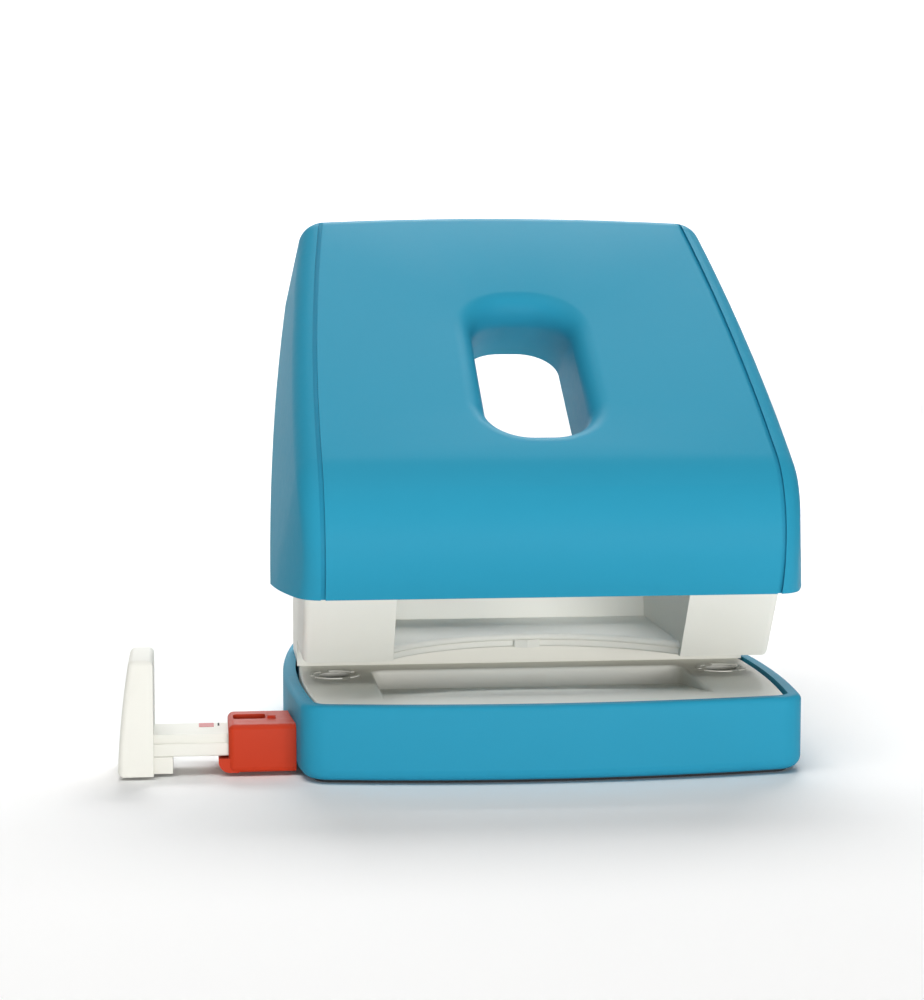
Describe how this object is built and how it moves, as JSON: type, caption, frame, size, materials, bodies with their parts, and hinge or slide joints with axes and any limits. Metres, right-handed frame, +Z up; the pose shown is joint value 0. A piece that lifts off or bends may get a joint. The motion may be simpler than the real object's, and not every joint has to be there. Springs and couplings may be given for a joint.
{
  "type": "hole punch",
  "caption": "Desk punch for filing holes: sprung lever handle with a finger hole, paper slot with a stop, drop-open chip tray and a pull-out side guide with end stop.",
  "frame": {"origin": "on the table plane, midway between the axes of the holes that it punches", "axes": "+X along the hole spacing, away from the paper guide; -Y towards the side where the paper goes in; +Z up"},
  "size_m": [0.136, 0.1074, 0.1085],
  "materials": {
    "shell_blue": "satin moulded plastic",
    "housing_white": "warm light-grey moulded plastic, satin",
    "guide_red": "red moulded plastic, satin",
    "label_red": "printed plastic inlay",
    "tray_grey": "soft dark-grey plastic",
    "steel_sheet": "zinc-plated sheet steel",
    "steel_hard": "ground tool steel",
    "steel_dark": "blackened spring steel"
  },
  "bodies": {
    "base": {"base_shell": "shell_blue", "deck": "housing_white", "die_plate": "steel_sheet", "bridge_shelf": "housing_white", "left_tower": "housing_white", "right_tower": "housing_white", "left_bracket": "steel_sheet", "right_bracket": "steel_sheet", "bracket_screws": "steel_sheet", "pivot_axle": "steel_hard", "axle_clips": "steel_dark", "left_spring": "steel_dark", "right_spring": "steel_dark", "guide_holder": "guide_red", "guide_channel": "housing_white", "tray_hinge_pins": "steel_hard"},
    "tray": {"chip_tray": "tray_grey"},
    "handle": {"handle_cover": "shell_blue", "lever_frame": "steel_sheet", "presser_rollers": "steel_hard", "lever_screws": "steel_sheet"},
    "left_punch": {"left_pin": "steel_hard", "left_pin_clip": "steel_dark"},
    "right_punch": {"right_pin": "steel_hard", "right_pin_clip": "steel_dark"},
    "guide": {"guide_bar": "housing_white", "end_stop": "housing_white", "format_label": "label_red"}
  },
  "joints": [
    {"name": "handle_hinge", "type": "hinge", "parent": "base", "child": "handle", "pos_m": [0, -0.016, 0.0445], "axis": [-1, 0, 0], "range_deg": [0, 30], "stiffness_Nm_per_rad": 0.8, "springref_deg": -34.38},
    {"name": "left_pin_slide", "type": "slide", "parent": "base", "child": "left_punch", "axis": [0, 0, -1], "range_m": [0, 0.0084], "deforming": ["left_spring"]},
    {"name": "right_pin_slide", "type": "slide", "parent": "base", "child": "right_punch", "axis": [0, 0, -1], "range_m": [0, 0.0084], "deforming": ["right_spring"]},
    {"name": "guide_slide", "type": "slide", "parent": "base", "child": "guide", "axis": [-1, 0, 0], "range_m": [-0.0075, 0.0725]},
    {"name": "tray_hinge", "type": "hinge", "parent": "base", "child": "tray", "pos_m": [0, 0.057, 0.003], "axis": [1, 0, 0], "range_deg": [0, 60]}
  ],
  "couplings": [
    {"joint": "left_pin_slide", "follows": "handle_hinge", "m_per_rad": 0.016018},
    {"joint": "right_pin_slide", "follows": "handle_hinge", "m_per_rad": 0.016018}
  ]
}
